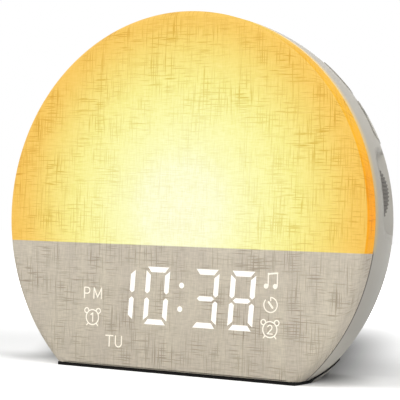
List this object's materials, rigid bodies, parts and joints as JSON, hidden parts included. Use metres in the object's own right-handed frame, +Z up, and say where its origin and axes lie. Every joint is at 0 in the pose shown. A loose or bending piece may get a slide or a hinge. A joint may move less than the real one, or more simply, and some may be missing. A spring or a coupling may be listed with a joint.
{
  "type": "sunrise alarm clock",
  "caption": "Round wake-up light with a linen front cut flat at the foot, a warm lamp over a lit clock display, and a domed plastic back with buttons and a side dial.",
  "frame": {"origin": "middle of the footprint, on the surface the clock stands on", "axes": "+X to the right as seen by someone facing the display, +Y from the linen front to the back, +Z up"},
  "size_m": [0.19, 0.068, 0.1669],
  "materials": {
    "shell": "fine moulded texture, warm grey-beige",
    "key_plastic": "fine moulded texture, warm grey-beige",
    "door_plastic": "fine moulded texture, warm grey-beige",
    "linen": "slubbed plain-weave linen stretched over a backing",
    "diffuser": "translucent milky plastic",
    "pad_rubber": "matt black",
    "grip": "ribbed dark grey",
    "white_plastic": "bright white",
    "white_board": "white-masked circuit board",
    "green_board": "green-masked circuit board",
    "lamp_led": "resin over the die",
    "smoke_film": "grey film, matched to the linen",
    "black_plastic": "black moulding",
    "lit_segment": "milky light guide",
    "steel": "plated",
    "cone_paper": "black paper cone with its surround",
    "foam": "soft black foam",
    "contact_brass": "spring contact",
    "cable": "flat flexible cable",
    "wire": "insulated wire"
  },
  "bodies": {
    "clock": {"base_pad": "pad_rubber", "battery_door": "door_plastic", "case_screws": "steel", "cell_contact": "contact_brass", "cell_holder": "black_plastic", "coin_cell": "steel", "dc_jack": "black_plastic", "dial_board": "green_board", "dial_board_screws": "steel", "dial_leads": "wire", "display_board": "green_board", "display_body": "black_plastic", "display_face": "smoke_film", "display_icons": "lit_segment", "display_leds": "lamp_led", "display_ribbon": "cable", "display_screws": "steel", "display_segments": "lit_segment", "door_screw": "steel", "encoder": "steel", "front_cover": "diffuser", "front_fabric": "linen", "key_boards": "green_board", "key_leads": "wire", "key_screws": "steel", "key_switches": "steel", "light_header": "white_plastic", "light_ribbon": "cable", "light_tray": "white_plastic", "main_board": "green_board", "main_chips": "black_plastic", "main_connectors": "white_plastic", "main_screws": "steel", "rear_housing": "shell", "speaker_cone": "cone_paper", "speaker_frame": "steel", "speaker_gasket": "foam", "speaker_leads": "wire", "speaker_magnet": "steel", "speaker_screws": "steel", "sunrise_board": "white_board", "sunrise_leds": "lamp_led"},
    "dial": {"volume_dial": "grip", "encoder_shaft": "steel"},
    "snooze": {"snooze_button": "key_plastic", "snooze_plunger": "black_plastic"},
    "alarm_one": {"alarm_one_button": "key_plastic", "alarm_one_plunger": "black_plastic"},
    "alarm_two": {"alarm_two_button": "key_plastic", "alarm_two_plunger": "black_plastic"},
    "light": {"light_button": "key_plastic", "light_plunger": "black_plastic"},
    "sound": {"sound_button": "key_plastic", "sound_plunger": "black_plastic"}
  },
  "joints": [
    {"name": "dial_turn", "type": "hinge", "parent": "clock", "child": "dial", "pos_m": [0.07275, -0.0087, 0.08303], "axis": [0, 1, 0], "continuous": true},
    {"name": "snooze_press", "type": "slide", "parent": "clock", "child": "snooze", "axis": [0, 0, -1], "range_m": [0, 0.0008], "stiffness_N_per_m": 1500, "springref_m": -0.0005},
    {"name": "alarm_one_press", "type": "slide", "parent": "clock", "child": "alarm_one", "axis": [-0.6884, 0, -0.7254], "range_m": [0, 0.0008], "stiffness_N_per_m": 1500, "springref_m": -0.0005},
    {"name": "alarm_two_press", "type": "slide", "parent": "clock", "child": "alarm_two", "axis": [-0.8616, 0, -0.5075], "range_m": [0, 0.0008], "stiffness_N_per_m": 1500, "springref_m": -0.0005},
    {"name": "light_press", "type": "slide", "parent": "clock", "child": "light", "axis": [0.6884, 0, -0.7254], "range_m": [0, 0.0008], "stiffness_N_per_m": 1500, "springref_m": -0.0005},
    {"name": "sound_press", "type": "slide", "parent": "clock", "child": "sound", "axis": [0.8616, 0, -0.5075], "range_m": [0, 0.0008], "stiffness_N_per_m": 1500, "springref_m": -0.0005}
  ]
}
